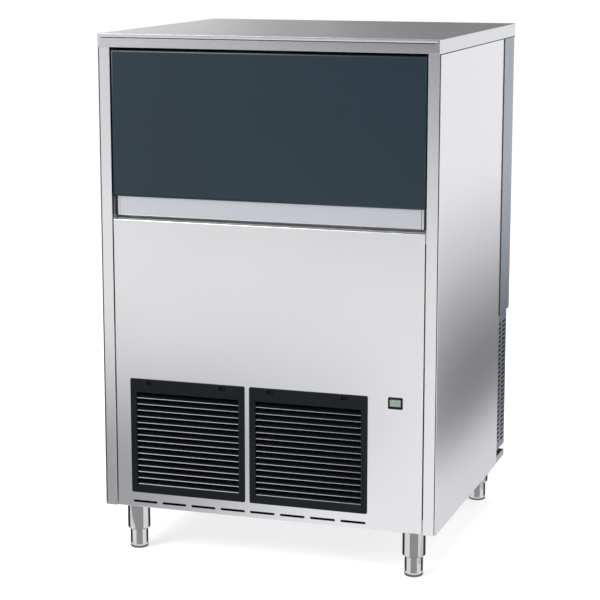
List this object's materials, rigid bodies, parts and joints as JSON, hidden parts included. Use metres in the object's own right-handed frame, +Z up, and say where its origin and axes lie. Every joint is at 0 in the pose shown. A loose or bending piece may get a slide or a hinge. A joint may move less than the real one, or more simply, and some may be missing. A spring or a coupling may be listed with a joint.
{
  "type": "flake ice machine",
  "caption": "Upright stainless flake ice machine: insulated ice bin behind an up-and-over door, louvred grilles, auger evaporator at the rear, adjustable legs.",
  "frame": {"origin": "on the floor under the centre of the cabinet", "axes": "+Z up, front towards -Y, +X to the right seen from the front"},
  "size_m": [0.738, 0.69, 1.12],
  "materials": {
    "stainless_sheet": "brushed stainless sheet",
    "rear_steel": "plain steel sheet",
    "galvanised_steel": "galvanised sheet",
    "polished_steel": "polished stainless",
    "freezing_steel": "machined stainless",
    "slate_plastic": "textured moulding",
    "strip_aluminium": "satin anodised",
    "pin_steel": "turned steel",
    "black_plastic": "satin moulding",
    "rocker_green": "translucent moulding",
    "filter_foam": "open-cell foam",
    "white_plastic": "food-safe moulding",
    "insulation_foam": "rigid foam",
    "rubber": "moulded rubber",
    "copper": "drawn copper",
    "brass": "turned brass",
    "motor_paint": "grey enamel",
    "black_paint": "black enamel",
    "fin_aluminium": "mill finish",
    "clear_hose": "flexible tube"
  },
  "bodies": {
    "cabinet": {"base_tray": "stainless_sheet", "front_frame": "stainless_sheet", "side_panel_left": "stainless_sheet", "side_panel_right": "stainless_sheet", "top_panel": "stainless_sheet", "front_panel": "stainless_sheet", "rear_cover": "rear_steel", "rear_grille": "rear_steel", "rear_frame": "galvanised_steel", "bin_support": "galvanised_steel", "motor_stand": "galvanised_steel", "fan_shroud": "galvanised_steel", "control_box": "galvanised_steel", "leg_sleeves": "polished_steel", "panel_screws": "polished_steel", "evaporator_cylinder": "freezing_steel", "breaker_head": "freezing_steel", "grille_left": "black_plastic", "grille_right": "black_plastic", "switch_body": "black_plastic", "terminal_cover": "black_plastic", "cable_gland": "black_plastic", "air_filters": "filter_foam", "evaporator_jacket": "filter_foam", "bin_liner": "white_plastic", "bin_rim": "white_plastic", "ice_spout": "white_plastic", "door_guides": "white_plastic", "water_reservoir": "white_plastic", "reservoir_lid": "white_plastic", "float_valve": "white_plastic", "bin_insulation": "insulation_foam", "sill_gasket": "rubber", "compressor_grommets": "rubber", "evaporator_coil": "copper", "copper_pipes": "copper", "filter_drier": "copper", "lower_housing": "brass", "water_inlet": "brass", "gear_motor": "motor_paint", "fan_motor": "motor_paint", "compressor": "black_paint", "condenser": "fin_aluminium", "water_hoses": "clear_hose", "drain_spigot": "clear_hose"},
    "door": {"door_shell": "slate_plastic", "door_core": "insulation_foam", "door_liner": "white_plastic", "door_strip": "strip_aluminium", "door_pivot_pins": "pin_steel"},
    "door_shoes": {"door_shoes": "white_plastic"},
    "rocker": {"switch_rocker": "rocker_green"},
    "auger": {"auger": "freezing_steel", "auger_coupling": "pin_steel"},
    "fan": {"fan_blade": "black_plastic"},
    "float": {"float_arm": "white_plastic"},
    "foot_front_left": {"foot_front_left": "polished_steel"},
    "foot_front_right": {"foot_front_right": "polished_steel"},
    "foot_rear_left": {"foot_rear_left": "polished_steel"},
    "foot_rear_right": {"foot_rear_right": "polished_steel"}
  },
  "joints": [
    {"name": "door_tilt", "type": "hinge", "parent": "door_shoes", "child": "door", "pos_m": [0, -0.316, 1.062], "axis": [-1, 0, 0], "range_deg": [0, 90]},
    {"name": "door_slide", "type": "slide", "parent": "cabinet", "child": "door_shoes", "axis": [0, 1, 0], "range_m": [0, 0.2701]},
    {"name": "rocker_press", "type": "hinge", "parent": "cabinet", "child": "rocker", "pos_m": [0.2807, -0.3375, 0.38], "axis": [-1, 0, 0], "range_deg": [0, 16]},
    {"name": "auger_spin", "type": "hinge", "parent": "cabinet", "child": "auger", "pos_m": [0, 0.2412, 0.7], "axis": [0, 0, 1], "continuous": true},
    {"name": "fan_spin", "type": "hinge", "parent": "cabinet", "child": "fan", "pos_m": [-0.045, -0.231, 0.256], "axis": [0, 1, 0], "continuous": true},
    {"name": "float_lift", "type": "hinge", "parent": "cabinet", "child": "float", "pos_m": [-0.245, 0.1862, 0.869], "axis": [1, 0, 0], "range_deg": [0, 25]},
    {"name": "foot_front_left_screw", "type": "slide", "parent": "cabinet", "child": "foot_front_left", "axis": [0, 0, -1], "range_m": [0, 0.03]},
    {"name": "foot_front_right_screw", "type": "slide", "parent": "cabinet", "child": "foot_front_right", "axis": [0, 0, -1], "range_m": [0, 0.03]},
    {"name": "foot_rear_left_screw", "type": "slide", "parent": "cabinet", "child": "foot_rear_left", "axis": [0, 0, -1], "range_m": [0, 0.03]},
    {"name": "foot_rear_right_screw", "type": "slide", "parent": "cabinet", "child": "foot_rear_right", "axis": [0, 0, -1], "range_m": [0, 0.03]}
  ],
  "couplings": [
    {"joint": "door_slide", "follows": "door_tilt", "m_per_rad": 0.17189}
  ]
}
